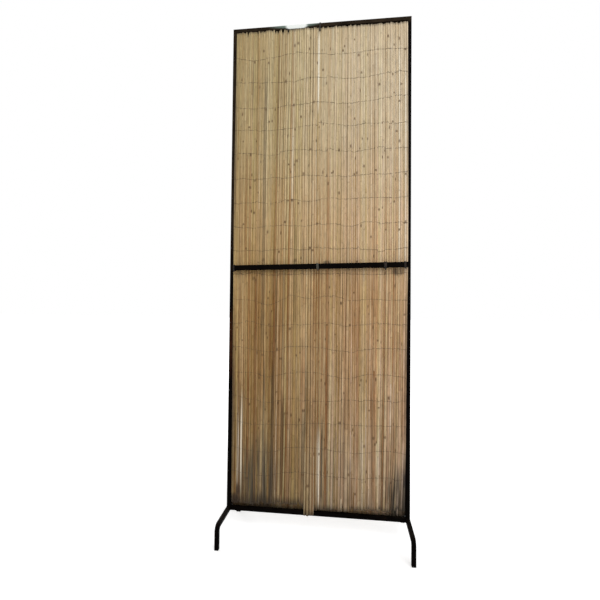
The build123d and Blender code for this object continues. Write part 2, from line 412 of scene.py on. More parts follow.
def aged_and_lit(tree, colour, across, height, streaks):
    """The colour after years outdoors and painted light: browned below the clamp bar, lighter above it
    partly by bleaching and partly as painted light from above, and lighter to the right as painted light.
    """
    up = map_range(tree, height, 0.0, UP_REACH)
    sideways = map_range(tree, across, -SIDE_REACH, SIDE_REACH)
    # Painted light from above, over the reeds' own colour up the screen
    colour = mix_colour(tree, 1.0, colour, ramp(tree, up, AGED_AND_LIT_UP), "MULTIPLY")
    # Painted light from the right
    colour = mix_colour(tree, 1.0, colour, ramp(tree, sideways, SIDE_LIGHT_ACROSS), "MULTIPLY")
    below = map_range(tree, height, BAR_MID + 0.02, BAR_MID - 0.03)
    depth = map_range(tree, height, 1.10, 0.10, 0.35, 1.0)
    patchy = map_range(tree, streaks, 0.3, 0.7, 0.3, 1.0)
    brown = mix_colour(tree, 1.0, colour, BROWNING, "MULTIPLY")
    colour = mix_colour(tree, times(tree, below, depth, patchy), colour, brown)
    low_colour = mix_colour(tree, 1.0, colour, ramp(tree, sideways, LOW_ACROSS), "MULTIPLY")
    colour = mix_colour(tree, map_range(tree, height, 1.15, 0.75), colour, low_colour)
    return mix_colour(tree, attribute(tree, "pale"), colour, ramp(tree, up, BLOND_UP))


def dirtied_and_shaded(tree, colour, across, streaks, clouds):
    """Mould that runs up single canes, stains and painted shade by the posts and in the lower corners, soot
    by the bar, canes darker towards their lower cut ends, and painted shade under the top rail and inside
    the hollow ends.
    """
    mould = times(tree, strongest(tree, MOULD_PATCHES), map_range(tree, streaks, 0.34, 0.58, 0.15, 1.0))
    colour = mix_colour(tree, mould, colour, MOULD)
    # Stains and painted shade along the posts and in the lower left corner
    stain_and_shade = times(tree, strongest(tree, STAIN_AND_SHADE_PATCHES), map_range(tree, clouds, 0.30, 0.50, 0.7, 1.0))
    colour = mix_colour(tree, stain_and_shade, colour, STAIN_AND_SHADE)
    # Painted shade in the lower right corner and soot by the clamp bar
    soot_and_shade = times(tree, strongest(tree, SOOT_AND_SHADE_PATCHES), map_range(tree, clouds, 0.40, 0.60, 0.4, 1.0))
    colour = mix_colour(tree, soot_and_shade, colour, SOOT_AND_SHADE)
    # Darker towards the canes' lower cut ends, over a longer stretch at the left
    deep = map_range(tree, across, -0.30, 0.10, 0.045, 0.018)
    low_end_darkening = math_node(tree, "DIVIDE", attribute(tree, "above_end"), deep)
    colour = mix_colour(tree, map_range(tree, low_end_darkening, 1.0, 0.0, 0.0, 0.85), colour, DARK_LOW_END)
    # Painted shade on the canes' top ends under the top rail
    shade_under_rail = map_range(tree, attribute(tree, "below_top"), 0.010, 0.0, 0.0, 0.7)
    colour = mix_colour(tree, shade_under_rail, colour, SHADED_TOP)
    # Painted shade inside the hollow cut ends
    return mix_colour(tree, attribute(tree, "hollow"), colour, HOLLOW_SHADE)


def reed_material():
    """Dry canes with long fibres and dark joints, weathered and mouldy, with painted light and shade."""
    material, tree = new_tree("dry_reed")
    fibres = cane_noise(tree, "number", (420, 420, 4), 4.0)
    clouds = cane_noise(tree, "number", (50, 50, 8))
    mottle = cane_noise(tree, "number", (40, 40, 24))
    flecks = cane_noise(tree, "number", (300, 300, 90), 2.0, 0.4)
    streaks = cane_noise(tree, "cane", (8, 8, 3), 2.0)
    split = node(tree, "ShaderNodeSeparateXYZ", {0: object_place(tree)})
    across, height = split.outputs[0], split.outputs[2]

    colour = own_colour(tree, across, height)
    colour = shade_by(tree, colour, map_range(tree, fibres, 0.25, 0.75, 0.86, 1.12))
    darkest = map_range(tree, height, 0.6, 1.2, 0.76, 0.83)
    lightest = math_node(tree, "SUBTRACT", 2.0, darkest)
    colour = shade_by(tree, colour, map_range(tree, mottle, 0.25, 0.75, darkest, lightest))
    paled = times(tree, map_range(tree, clouds, 0.52, 0.75), 0.35)
    colour = mix_colour(tree, paled, colour, FADED)
    colour = aged_and_lit(tree, colour, across, height, streaks)

    flecked = times(tree, map_range(tree, flecks, 0.66, 0.74), 0.4)
    colour = mix_colour(tree, flecked, colour, FLECK)
    colour = mix_colour(tree, attribute(tree, "rust"), colour, RUSTY)
    # Painted shade on the canes marked dark
    colour = mix_colour(tree, attribute(tree, "dark"), colour, SHADED_CANE)
    colour = mix_colour(tree, times(tree, attribute(tree, "joint"), 0.82), colour, JOINT)
    colour = dirtied_and_shaded(tree, colour, across, streaks, clouds)

    relief = math_node(tree, "ADD", fibres, times(tree, flecks, -0.4))
    finish_shader(tree, {
        "Base Color": colour,
        "Roughness": map_range(tree, fibres, 0.3, 0.7, 0.50, 0.72),
        "Specular IOR Level": 0.25,
        "Normal": bump(tree, relief, 0.4, 0.0005),
    })
    return material


# Enamel of the frame and the bars. A patch is a centre and a radius here.

ENAMEL = ((0.3, (0.0010, 0.0006, 0.0005)), (0.7, (0.0030, 0.0022, 0.0018)))
DUSTY_MARKS = (0.014, 0.008, 0.005, 1)
BROWNISH_ENAMEL = (0.026, 0.018, 0.011, 1)
RUST_STAIN = (0.040, 0.014, 0.006, 1)
# Dust on upward faces, with a painted sheen
DUST_AND_TOP_SHEEN = (0.036, 0.026, 0.018, 1)
RUST_SPOT = (0.045, 0.016, 0.008, 1)
# Painted glare on the top rail: a greenish-grey spread and a whitish core
GLARE_TINT = (0.16, 0.21, 0.18, 1)
GLARE_WHITE = (0.82, 0.85, 0.82, 1)
RUSTED_POST = ((-0.358, 0.76), (0.03, 0.16))
GLARE_SPREAD = ((-0.106, 2.074), (0.118, 0.012))
GLARE_CORE = ((-0.098, 2.072), (0.052, 0.020))
BROWNER_POST = (1.0, 1.3)     # between these heights the left post turns brown


def enamel_material():
    """Black enamel on steel: brush marks, dust and a painted sheen on top, small chips and rust, browner on
    the top rail and upper left post, and a painted glare on the top rail.
    """
    material, tree = new_tree("black_enamel")
    fine = noise(tree, stretched(tree, (700, 700, 700)), 1.0, 3.0)
    marks = noise(tree, stretched(tree, (60, 60, 60)), 1.0, 5.0, 0.65)
    cloud = noise(tree, stretched(tree, (14, 14, 14)), 1.0, 4.0)
    split = node(tree, "ShaderNodeSeparateXYZ", {0: object_place(tree)})
    across, height = split.outputs[0], split.outputs[2]
    colour = ramp(tree, cloud, ENAMEL)
    dust = times(tree, map_range(tree, marks, 0.55, 0.72), 0.25)
    colour = mix_colour(tree, dust, colour, DUSTY_MARKS)

    # The top rail and the upper left post are browner
    at_top = map_range(tree, height, TOP_RAIL_UNDER - 0.011, TOP_RAIL_UNDER + 0.001)
    on_post = map_range(tree, across, TUBE - PANEL_HALF + 0.010, TUBE - PANEL_HALF)
    on_post = times(tree, on_post, map_range(tree, height, *BROWNER_POST))
    uneven = map_range(tree, cloud, 0.3, 0.6, 0.3, 1.0)
    brownish = times(tree, math_node(tree, "MAXIMUM", at_top, on_post), uneven)
    colour = mix_colour(tree, brownish, colour, BROWNISH_ENAMEL)
    rusted = times(tree, blob(tree, *RUSTED_POST), map_range(tree, marks, 0.35, 0.60, 0.4, 1.0))
    colour = mix_colour(tree, rusted, colour, RUST_STAIN)

    # Dust and a painted sheen on upward faces
    normal = node(tree, "ShaderNodeNewGeometry").outputs["Normal"]
    upward = node(tree, "ShaderNodeSeparateXYZ", {0: normal}).outputs[2]
    level = map_range(tree, upward, 0.7, 0.95)
    dust_and_sheen = times(tree, level, map_range(tree, cloud, 0.3, 0.6, 0.03, 0.16))
    colour = mix_colour(tree, dust_and_sheen, colour, DUST_AND_TOP_SHEEN)
    colour = mix_colour(tree, map_range(tree, marks, 0.68, 0.73), colour, RUST_SPOT)
    # Painted glare on the top rail
    paled = times(tree, blob(tree, *GLARE_SPREAD), map_range(tree, cloud, 0.2, 0.5, 0.6, 1.0))
    colour = mix_colour(tree, paled, colour, GLARE_TINT)
    glare = map_range(tree, blob(tree, *GLARE_CORE), 0.0, 0.45)
    colour = mix_colour(tree, glare, colour, GLARE_WHITE)
    relief = math_node(tree, "ADD", marks, times(tree, fine, 0.25))
    finish_shader(tree, {
        "Base Color": colour,
        "Roughness": map_range(tree, marks, 0.3, 0.7, 0.40, 0.62),
        "Specular IOR Level": 0.012,
        "Normal": bump(tree, relief, 0.25, 0.0008),
    })
    return material


# Foot caps and wires

CAP_PLASTIC = (0.004, 0.004, 0.004, 1)
CAP_SCUFF = (0.03, 0.028, 0.026, 1)
WIRE_RUST = (0.10, 0.045, 0.02, 1)
BLACKENED_WIRE = (0.012, 0.008, 0.005, 1)


def cap_material():
    """Moulded black plastic with a fine grain and scuffs."""
    material, tree = new_tree("cap_plastic")
    grain = noise(tree, stretched(tree, (1500, 1500, 1500)), 1.0, 2.0)
    scuffs = noise(tree, stretched(tree, (260, 260, 90)), 1.0, 4.0)
    worn = map_range(tree, scuffs, 0.55, 0.75)
    colour = mix_colour(tree, worn, CAP_PLASTIC, CAP_SCUFF)
    finish_shader(tree, {
        "Base Color": colour,
        "Roughness": map_range(tree, scuffs, 0.3, 0.7, 0.5, 0.75),
        "Specular IOR Level": 0.15,
        "Normal": bump(tree, grain, 0.3, 0.0003),
    })
    return material


def wire_material(name, dark, bright, rust_share, black_above=None):
    """Drawn wire: dull, spotted with rust, and where asked weathered black above a height."""
    material, tree = new_tree(name)
    dull = noise(tree, stretched(tree, (900, 900, 900)), 1.0, 3.0)
    spots = noise(tree, stretched(tree, (130, 130, 130)), 1.0, 3.0)
    colour = mix_colour(tree, map_range(tree, dull, 0.3, 0.7), (*dark, 1), (*bright, 1))
    rusty = times(tree, map_range(tree, spots, 0.45, 0.62), rust_share)
    colour = mix_colour(tree, rusty, colour, WIRE_RUST)
    if black_above is not None:
        height = node(tree, "ShaderNodeSeparateXYZ", {0: object_place(tree)}).outputs[2]
        weathered = map_range(tree, height, black_above, black_above + 0.02, 0.0, 0.9)
        colour = mix_colour(tree, weathered, colour, BLACKENED_WIRE)
    finish_shader(tree, {
        "Base Color": colour,
        "Roughness": map_range(tree, dull, 0.3, 0.7, 0.5, 0.75),
        "Specular IOR Level": 0.3,
        "Normal": bump(tree, dull, 0.3, 0.0003),
    })
    return material


MATERIALS = {
    "black_frame": enamel_material(),
    "cap_plastic": cap_material(),
    "reed": reed_material(),
    "binding_wire": wire_material("binding_wire", (0.045, 0.030, 0.019), (0.11, 0.080, 0.055), 0.6),
    "tie_wire": wire_material("tie_wire", (0.035, 0.035, 0.028), (0.10, 0.098, 0.078), 0.2, black_above=2.0),
    "dark_tie_wire": wire_material("dark_tie_wire", (0.002, 0.002, 0.002), (0.009, 0.007, 0.006), 0.2),
}

for part in frame["record"]["subparts"]:
    shown = frame["nodes"][part["node"]]
    shown.data.materials.clear()
    shown.data.materials.append(MATERIALS[part["material_slot"]])


# Helpers for meshes


def piece(name, tubes, slot, replaced=()):
    """Collected tubes as one mesh of the object, riding on it, with its slot's material."""
    mesh = bpy.data.meshes.new(name)
    mesh.from_pydata([tuple(v) for v in tubes.vertices], [], tubes.faces)
    for key, numbers in tubes.values.items():
        values = np.array(numbers, np.float32)
        mesh.attributes.new(key, "FLOAT", "POINT").data.foreach_set("value", values)
    mesh.polygons.foreach_set("use_smooth", [True] * len(mesh.polygons))
    mesh.materials.append(MATERIALS[slot])
    mesh.update()
    made = bpy.data.objects.new(name, mesh)
    bpy.context.scene.collection.objects.link(made)
    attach(made, BODY)
    if replaced:
        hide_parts(*replaced)
    return made


class Tubes:
    """Collects tubes of round rings, with a value for each ring's points, for one mesh."""

    def __init__(self, sides):
        self.sides = sides
        self.vertices = []
        self.faces = []
        self.values = {}

    def around(self):
        return (2 * pi * k / self.sides for k in range(self.sides))

    def ring(self, points, **values):
        self.vertices.extend(points)
        for key, value in values.items():
            self.values.setdefault(key, []).extend([value] * self.sides)

    def skin(self, start, rings, closed=False):
        """Faces between a run of rings that starts at a vertex index."""
        n = self.sides
        for r in range(rings if closed else rings - 1):
            a = start + r * n
            b = start + ((r + 1) % rings) * n
            for i in range(n):
                j = (i + 1) % n
                self.faces.append((a + i, a + j, b + j, b + i))
        if not closed:
            last = start + (rings - 1) * n
            self.faces.append(tuple(start + i for i in reversed(range(n))))
            self.faces.append(tuple(last + i for i in range(n)))

    def sweep(self, path, radius, closed=False, **values):
        """A round tube along a path of points, with one radius or one for each point."""
        start = len(self.vertices)
        count = len(path)
        radii = radius if hasattr(radius, "__len__") else [radius] * count
        side = None
        for k, point in enumerate(path):
            before = path[(k - 1) % count] if closed or k else point
            after = path[(k + 1) % count] if closed or k < count - 1 else point
            along = (Vector(after) - Vector(before)).normalized()
            if side is None:
                side = along.orthogonal().normalized()
            side = (side - along * side.dot(along)).normalized()
            other = along.cross(side)
            ring = [Vector(point) + (side * cos(a) + other * sin(a)) * radii[k] for a in self.around()]
            self.ring(ring, **values)
        self.skin(start, count, closed)


# Reed mats

LEVELS = np.linspace(0.0, 1.0, 9)      # places up a mat where widths and gaps are set
REED_COUNT = 120
REED_SIDES = 10
RING_STEP = 0.075

# What the mats leave bare of the posts, from the posts' outer sides, at five heights from the floor up
BARE_PLACES = (0.0, 0.25, 0.48, 0.70, 1.0)
BARE_LEFT = (0.020, 0.018, 0.016, 0.013, 0.017)
BARE_RIGHT = (0.019, 0.017, 0.012, 0.011, 0.015)
BARE_REAR = 0.0125

# Front mat's ends, from the rails
LOW_END_LEFT = 0.017
LOW_END_MIDDLE_LEFT = 0.029
LOW_END_MIDDLE_RIGHT = 0.012
LOW_END_RIGHT = 0.031
TOP_END_LEFT = -0.006
TOP_END_RIGHT = -0.011
LONG_CANES = (-0.052, -0.007)          # the stretch that hangs over the bottom rail
LONG_CANE_ENDS = (0.002, 0.006)        # above the rail's underside
STRAY_CANE = (-0.111, 0.012)           # x, and its end above the rail's underside
STRAY_HALF = 0.003
SHORT_CANE = 0.008                     # how much higher the odd short cane ends
SHORT_SHARE = 0.10
NOTCHED_TOP = (-0.31, -0.13)           # the stretch where some canes end short under the top rail
NOTCH_SHARE = 0.3
NOTCH_DEPTH = (0.006, 0.014)

REAR_LOW_END = -0.006
REAR_TOP_END = 0.005
NOTCH_X = PANEL_HALF - TUBE - 0.002    # beyond here the rear mat is cut back over the feet
NOTCH_Z = RAIL_TOP + 0.002
CANE_REACH = 0.004                     # half of the thickest cane

# How unevenly the canes are cut
RAGGED_FRONT_LOW = 0.0026
RAGGED_FRONT_TOP = 0.0018
RAGGED_REAR_LOW = 0.0016
RAGGED_REAR_TOP = 0.0010
RAGGED_NOTCH = 0.0006

# Near the foot of the right post the canes lean
LEAN = 0.009
LEAN_X = 0.305
LEAN_REACH = 0.035


def front_low(x, rng):
    """Height at which the front mat's cane at x ends."""
    if LONG_CANES[0] < x < LONG_CANES[1]:
        return RAIL_UNDER + rng.uniform(*LONG_CANE_ENDS)
    if abs(x - STRAY_CANE[0]) < STRAY_HALF:
        return RAIL_UNDER + STRAY_CANE[1]
    if x <= LONG_CANES[0]:
        along = (x + MAT_HALF) / (LONG_CANES[0] + MAT_HALF)
        line = LOW_END_LEFT + along * (LOW_END_MIDDLE_LEFT - LOW_END_LEFT)
    else:
        along = (x - LONG_CANES[1]) / (MAT_HALF - LONG_CANES[1])
        line = LOW_END_MIDDLE_RIGHT + along * (LOW_END_RIGHT - LOW_END_MIDDLE_RIGHT)
    short = SHORT_CANE if rng.random() < SHORT_SHARE else 0.0
    return RAIL_TOP + line + rng.gauss(0, RAGGED_FRONT_LOW) + short


def front_top(x, rng):
    along = (x + MAT_HALF) / (2 * MAT_HALF)
    line = TOP_END_LEFT + (TOP_END_RIGHT - TOP_END_LEFT) * along
    notched = NOTCHED_TOP[0] < x < NOTCHED_TOP[1] and rng.random() < NOTCH_SHARE
    short = rng.uniform(*NOTCH_DEPTH) if notched else 0.0
    return TOP_RAIL_UNDER + line - short + rng.gauss(0, RAGGED_FRONT_TOP)


def rear_low(x, rng):
    if abs(x) > NOTCH_X - CANE_REACH:
        return NOTCH_Z + abs(rng.gauss(0, RAGGED_NOTCH))
    return RAIL_TOP + REAR_LOW_END - abs(rng.gauss(0, RAGGED_REAR_LOW))


def rear_top(x, rng):
    return TOP_RAIL_UNDER + REAR_TOP_END + rng.gauss(0, RAGGED_REAR_TOP)


# How the canes of a mat differ in width. Gaps are shares of a mean cane, and the canes overlap a little.
WIDTH_SPREAD = 0.24
WIDTH_JITTER = 0.02
TAPER = 0.30
COARSE_LOW = 1.5                       # widths differ more at the foot than at the top
COARSE_FALL = 0.6
GAP_MEAN = -0.06
GAP_SPREAD = 0.09
GAP_KEPT = 0.75                        # how much of a gap carries on to the next level
GAP_LOW = 0.05                         # wider at the foot by this


def level_at(z):
    """Place up a mat, from 0 at the bottom rail to 1 at the top rail."""
    return min(max((z - RAIL_TOP) / (TOP_RAIL_UNDER - RAIL_TOP), 0.0), 1.0)


def mat_sides(level, face):
    """Where a mat's left and right edges lie at a level."""
    if face == REAR:
        return BARE_REAR - PANEL_HALF, PANEL_HALF - BARE_REAR
    left = -PANEL_HALF + np.interp(level, BARE_PLACES, BARE_LEFT)
    right = PANEL_HALF - np.interp(level, BARE_PLACES, BARE_RIGHT)
    return left, right


def spread(rng, face, looseness, widest):
    """Left side and width of every cane at every level: rows are canes, columns levels."""
    widths = np.zeros((REED_COUNT, len(LEVELS)))
    gaps = np.zeros((REED_COUNT, len(LEVELS)))
    for i in range(REED_COUNT):
        base = rng.lognormvariate(0, WIDTH_SPREAD)
        taper = rng.uniform(-TAPER, TAPER)
        for k, level in enumerate(LEVELS):
            coarse = COARSE_LOW - COARSE_FALL * level
            uneven = 1 + rng.uniform(-WIDTH_JITTER, WIDTH_JITTER)
            widths[i, k] = base ** coarse * (1 + taper * (level - 0.5)) * uneven
            own = rng.gauss(GAP_MEAN, GAP_SPREAD)
            apart = own if k == 0 else GAP_KEPT * apart + (1 - GAP_KEPT) * own
            gaps[i, k] = min(looseness + apart + GAP_LOW * (1 - level), widest)
    lefts = np.zeros_like(widths)
    for k, level in enumerate(LEVELS):
        left, right = mat_sides(level, face)
        scale = (right - left) / (widths[:, k] + gaps[:, k]).sum()
        widths[:, k] *= scale
        steps = widths[:, k] + gaps[:, k] * scale
        lefts[:, k] = left + np.concatenate(([0], np.cumsum(steps)[:-1]))
    if face == FRONT:
        lefts[:, 0] -= LEAN * np.exp(-(((lefts[:, 0] - LEAN_X) / LEAN_REACH) ** 2))
    return lefts, widths


# Canes that stand out in the front mat: x, lowest and highest z, kind, strength. The dark kind is painted
# shade on canes that sit back.
FRONT_MARKS = (
    (-0.004, 1.740, 2.055, "pale", 0.75),
    (0.318, 1.080, 1.970, "pale", 0.45),
    (0.347, 1.080, 1.900, "pale", 0.42),
    (-0.3254, 0.160, 0.490, "pale", 0.50),
    (-0.3203, 0.160, 0.490, "pale", 0.78),
    (-0.3076, 0.160, 0.490, "pale", 0.80),
    (-0.3150, 0.160, 0.560, "dark", 0.50),
    (0.001, 0.100, 0.420, "pale", 0.35),
    (0.006, 0.100, 0.450, "pale", 0.95),
    (0.010, 0.100, 0.400, "pale", 1.00),
    (0.022, 0.100, 0.360, "pale", 0.45),
    (0.304, 1.550, 1.980, "pale", 0.30),
    (-0.172, 0.130, 0.950, "rust", 0.42),
    (-0.160, 0.130, 0.900, "rust", 0.50),
    (-0.146, 0.400, 0.950, "rust", 0.35),
    (-0.138, 0.130, 0.600, "rust", 0.85),
    (-0.133, 0.130, 0.480, "rust", 0.60),
    (-0.062, 0.100, 0.700, "rust", 0.40),
    (-0.111, 0.085, 0.300, "rust", 0.55),
    (-0.252, 0.760, 0.900, "rust", 0.45),
    (-0.010, 0.760, 0.920, "rust", 0.45),
    (0.020, 0.700, 0.830, "rust", 0.50),
    (0.111, 0.700, 0.970, "rust", 0.55),
    (0.168, 0.800, 0.940, "rust", 0.50),
    (0.238, 0.850, 1.000, "rust", 0.45),
    (-0.277, 1.740, 1.960, "dark", 0.45),
    (-0.223, 0.770, 1.900, "dark", 0.50),
    (-0.239, 1.100, 1.290, "dark", 0.42),
    (-0.218, 0.280, 0.710, "dark", 0.50),
    (-0.180, 0.130, 0.720, "dark", 0.60),
    (-0.171, 1.500, 2.020, "dark", 0.34),
    (-0.170, 0.740, 1.050, "dark", 0.50),
    (-0.139, 0.130, 0.580, "dark", 0.60),
    (-0.133, 0.130, 0.520, "dark", 0.50),
    (-0.186, 0.130, 0.640, "dark", 0.50),
    (-0.140, 0.600, 1.130, "dark", 0.40),
    (-0.128, 1.440, 1.850, "dark", 0.32),
    (-0.091, 0.820, 1.240, "dark", 0.40),
    (-0.065, 0.930, 1.250, "dark", 0.35),
    (-0.053, 0.180, 0.500, "dark", 0.60),
    (-0.046, 0.380, 0.710, "dark", 0.50),
    (-0.027, 0.930, 1.270, "dark", 0.30),
    (0.019, 0.110, 0.470, "dark", 0.85),
    (0.068, 0.120, 0.360, "dark", 0.60),
    (0.046, 0.120, 0.300, "dark", 0.30),
    (0.135, 0.110, 0.300, "dark", 0.35),
    (0.107, 0.200, 0.560, "dark", 0.40),
    (0.118, 0.910, 1.220, "dark", 0.25),
    (0.115, 1.460, 1.850, "dark", 0.22),
)
NO_MARKS = {"pale": 0.0, "rust": 0.0, "dark": 0.0}
MARK_FADE = 0.035                      # a mark comes and goes over this much of its cane

# How much the canes' colours differ: less towards the top, and to the right of the middle more by
# so much for each metre, at some levels
CONTRAST_LOW = 1.66
CONTRAST_FALL = 1.06
ASIDE_LEVELS = (0.10, 0.35, 0.65, 1.00)
ASIDE_RIGHT = (-0.4, 1.2, 0.0, -1.5)
ASIDE_LEFT = -1.15                     # more to the left too, since x is negative there

# Colours of single canes and of their stretches between joints
TONE = (0.50, 0.16)                    # mean and spread
WARMTH = (0.45, 0.17)
STRETCH_TONE = 0.035
STRETCH_WARMTH = 0.04
BROWN_SHARE = 0.12
BROWN = (0.1, 0.35)
LIGHT_SHARE = 0.12
LIGHT = (0.05, 0.15)
STRETCH_SHIFT = 0.37                   # how far the noise moves on, of a cane's shift
BROWN_FROM = 0.8                       # no stretch is browned where the contrast is less

# Shapes of single canes
PROUD = (0.0, 0.0014)                  # how far a cane stands off the frame
WOBBLE = {FRONT: 0.0003, REAR: 0.0001} # sideways
FLATNESS = (0.86, 1.0)
FIRST_JOINT = (0.03, 0.16)
JOINT_STEP = (0.13, 0.27)
JOINT_CLEAR = 0.025                    # no joint is nearer than this to the top end
JOINT_REACH = 0.0045
JOINT_DARKNESS = (0.05, 0.35)
KNOT_SHARE = 0.20                      # of the joints are dark knots
KNOT_REACH = (0.005, 0.010)
KNOT_DARKNESS = (0.75, 1.0)
JOINT_PROFILE = (                      # place about a joint, share of its darkness, girth
    (-1.0, 0.0, 0.99),
    (-0.35, 1.0, 1.07),
    (0.3, 1.0, 1.02),
    (1.0, 0.0, 0.97),
)
CUT_DEPTH = 0.004                      # the cut ends are hollow to this depth
CUT_RIM = (0.62, 0.8)                  # girth and hollowness
CUT_BORE = (0.45, 1.0)
BAR_PRESS = 0.05                       # the bar presses the canes flat to this distance


def marked_canes(lefts, widths):
    """The marks of each cane that has any: a mark is on the cane nearest to it at its middle height."""
    chosen = {}
    for x, low, high, key, strength in FRONT_MARKS:
        level = level_at((low + high) / 2)
        offs = [abs(np.interp(level, LEVELS, lefts[i] + widths[i] / 2) - x) for i in range(REED_COUNT)]
        chosen.setdefault(int(np.argmin(offs)), []).append((low, high, key, strength))
    return chosen


def mark_strengths(cane_marks, z):
    """How strongly each kind of mark shows on a cane at a height."""
    marks = dict(NO_MARKS)
    for low, high, key, strength in cane_marks:
        inside = min((z - low) / MARK_FADE, (high - z) / MARK_FADE)
        marks[key] = max(marks[key], strength * min(max(inside, 0.0), 1.0))
    return marks


def plain_rings(start, end, joint):
    """Even rings between two heights, without those at the heights themselves."""
    steps = max(1, int((end - start) / RING_STEP))
    return [(start + (end - start) * s / steps, 0.0, 1.0, joint) for s in range(1, steps)]


def cane_rings(low, high, rng):
    """Rings up one cane between its ends: height, joint value, girth, and the joint it is above."""
    rings = [(low, 0.0, 1.0, 0)]
    z = low + rng.uniform(*FIRST_JOINT)
    joint = 0
    while z < high - JOINT_CLEAR:
        knot = rng.random() < KNOT_SHARE
        reach = rng.uniform(*KNOT_REACH) if knot else JOINT_REACH
        darkness = rng.uniform(*(KNOT_DARKNESS if knot else JOINT_DARKNESS))
        rings += plain_rings(rings[-1][0], z - reach, joint)
        for place, share, girth in JOINT_PROFILE:
            rings.append((z + reach * place, darkness * share, girth, joint + (place > 0)))
        joint += 1
        z += rng.uniform(*JOINT_STEP)
    rings += plain_rings(rings[-1][0], high, joint)
    rings.append((high, 0.0, 1.0, joint))
    return rings


def with_cut_ends(rings):
    """The rings of a cane, now each with its hollowness too, and those of its two hollow ends."""
    low, high, last = rings[0][0], rings[-1][0], rings[-1][3]
    foot = [(low + CUT_DEPTH, CUT_BORE, 0), (low, CUT_RIM, 0)]
    top = [(high, CUT_RIM, last), (high - CUT_DEPTH, CUT_BORE, last)]
    foot, top = ([(z, 0.0, cut[0], joint, cut[1]) for z, cut, joint in end] for end in (foot, top))
    return foot + [ring + (0.0,) for ring in rings] + top


def stretch_colours(tone, warmth, count, rng):
    """Tone, warmth and browning of each stretch of a cane from one joint to the next."""
    tones = [tone + rng.gauss(0, STRETCH_TONE) for _ in range(count)]
    warmths = [warmth + rng.gauss(0, STRETCH_WARMTH) for _ in range(count)]
    browns = [rng.uniform(*BROWN) if rng.random() < BROWN_SHARE else 0.0 for _ in range(count)]
    tones = [t + (rng.uniform(*LIGHT) if rng.random() < LIGHT_SHARE else 0.0) for t in tones]
    return tones, warmths, browns


def contrast_at(x, level):
    """How strongly a cane's colour differs from the mean at a place."""
    aside = np.interp(level, ASIDE_LEVELS, ASIDE_RIGHT) if x > 0 else ASIDE_LEFT
    return (CONTRAST_LOW - CONTRAST_FALL * level) * (1 + aside * x)


def contrasted(value, mean, contrast):
    return min(max(mean + (value - mean) * contrast, 0.0), 1.0)


def add_mat(name, face, seed, looseness, widest, low_end, top_end, replaced):
    """A mat as one mesh of canes. Returns its canes' places and widths."""
    rng = Random(seed)
    lefts, widths = spread(rng, face, looseness, widest)
    marked = marked_canes(lefts, widths) if face == FRONT else {}
    tubes = Tubes(REED_SIDES)
    for i in range(REED_COUNT):
        low = low_end(lefts[i, 0] + widths[i, 0] / 2, rng)
        high = top_end(lefts[i, -1] + widths[i, -1] / 2, rng)
        tone, warmth = rng.gauss(*TONE), rng.gauss(*WARMTH)
        proud = [rng.uniform(*PROUD) for _ in LEVELS]
        wobble = [rng.gauss(0, WOBBLE[face]) for _ in LEVELS]
        flatness = rng.uniform(*FLATNESS)
        rings = cane_rings(low, high, rng)
        tones, warmths, browns = stretch_colours(tone, warmth, rings[-1][3] + 1, rng)
        plan = with_cut_ends(rings)
        start = len(tubes.vertices)
        for z, joint, girth, number, hollow in plan:
            level = level_at(z)
            left = np.interp(level, LEVELS, lefts[i])
            width = np.interp(level, LEVELS, widths[i])
            pressed = exp(-(((z - bar_z(left)) / BAR_PRESS) ** 2))
            thick = min(width * flatness, REED_THICK)
            out = np.interp(level, LEVELS, proud) * (1 - pressed)
            x_mid = left + width / 2 + np.interp(level, LEVELS, wobble)
            y_mid = face * (FRAME_HALF + out + thick / 2)
            half_x, half_y = width / 2 * girth, thick / 2 * girth
            contrast = contrast_at(x_mid, level)
            marks = mark_strengths(marked.get(i, ()), z)
            marks["rust"] = max(marks["rust"], browns[number] * (contrast - BROWN_FROM))
            tubes.ring(
                [(x_mid + half_x * cos(a), y_mid + half_y * sin(a), z) for a in tubes.around()],
                tone=contrasted(tones[number], TONE[0], contrast),
                warmth=contrasted(warmths[number], WARMTH[0], contrast),
                joint=joint,
                hollow=hollow,
                cane=i,
                number=i + STRETCH_SHIFT * number,
                above_end=z - low,
                below_top=high - z,
                **marks,
            )
        tubes.skin(start, len(plan))
    piece(name, tubes, "reed", (replaced,))
    return lefts, widths


# The rear canes overlap, so that no light falls between them
front_canes = add_mat(
    "front_reeds", FRONT, seed=11, looseness=0.0, widest=0.3,
    low_end=front_low, top_end=front_top, replaced="front_mat",
)
rear_canes = add_mat(
    "rear_reeds", REAR, seed=23, looseness=-0.10, widest=-0.12,
    low_end=rear_low, top_end=rear_top, replaced="rear_mat",
)


# Binding wires: the same rows as the solids, now laid over each cane and nipped between them

WIRE_RADIUS = 0.0006
WIRE_PITCH = 0.100
WIRE_POINTS = 10
WIRE_SCATTER = 0.006
SLACK = (0.4, 1.1)
CANE_FLATNESS = 0.93                   # a mean cane's thickness, as a share of its width
NIPS = (0.55, 0.8, 0.95)               # how deep the wire is pulled in between two canes
STRAY_STEP = 0.0009                    # how far the wire wanders up or down from cane to cane
STRAY_KEPT = 0.88
KINK = 0.004                           # how far it jumps at some canes
KINK_SHARE = 0.05
TREMBLE = 0.0003
WIRE_SIDES = 5
WIRE_LIFT = 1.1                        # wire's middle over a cane, in wire radii
ON_CANE = (0.3, 0.7)                   # where the wire touches a cane, as shares of its width
ROW_BASE = BAR_MID - BAR_SIDE / 2 - 0.018
DIPS = ((0.022, -0.222, 0.060), (0.009, 0.130, 0.070))     # depth, x and reach of the rows' sags


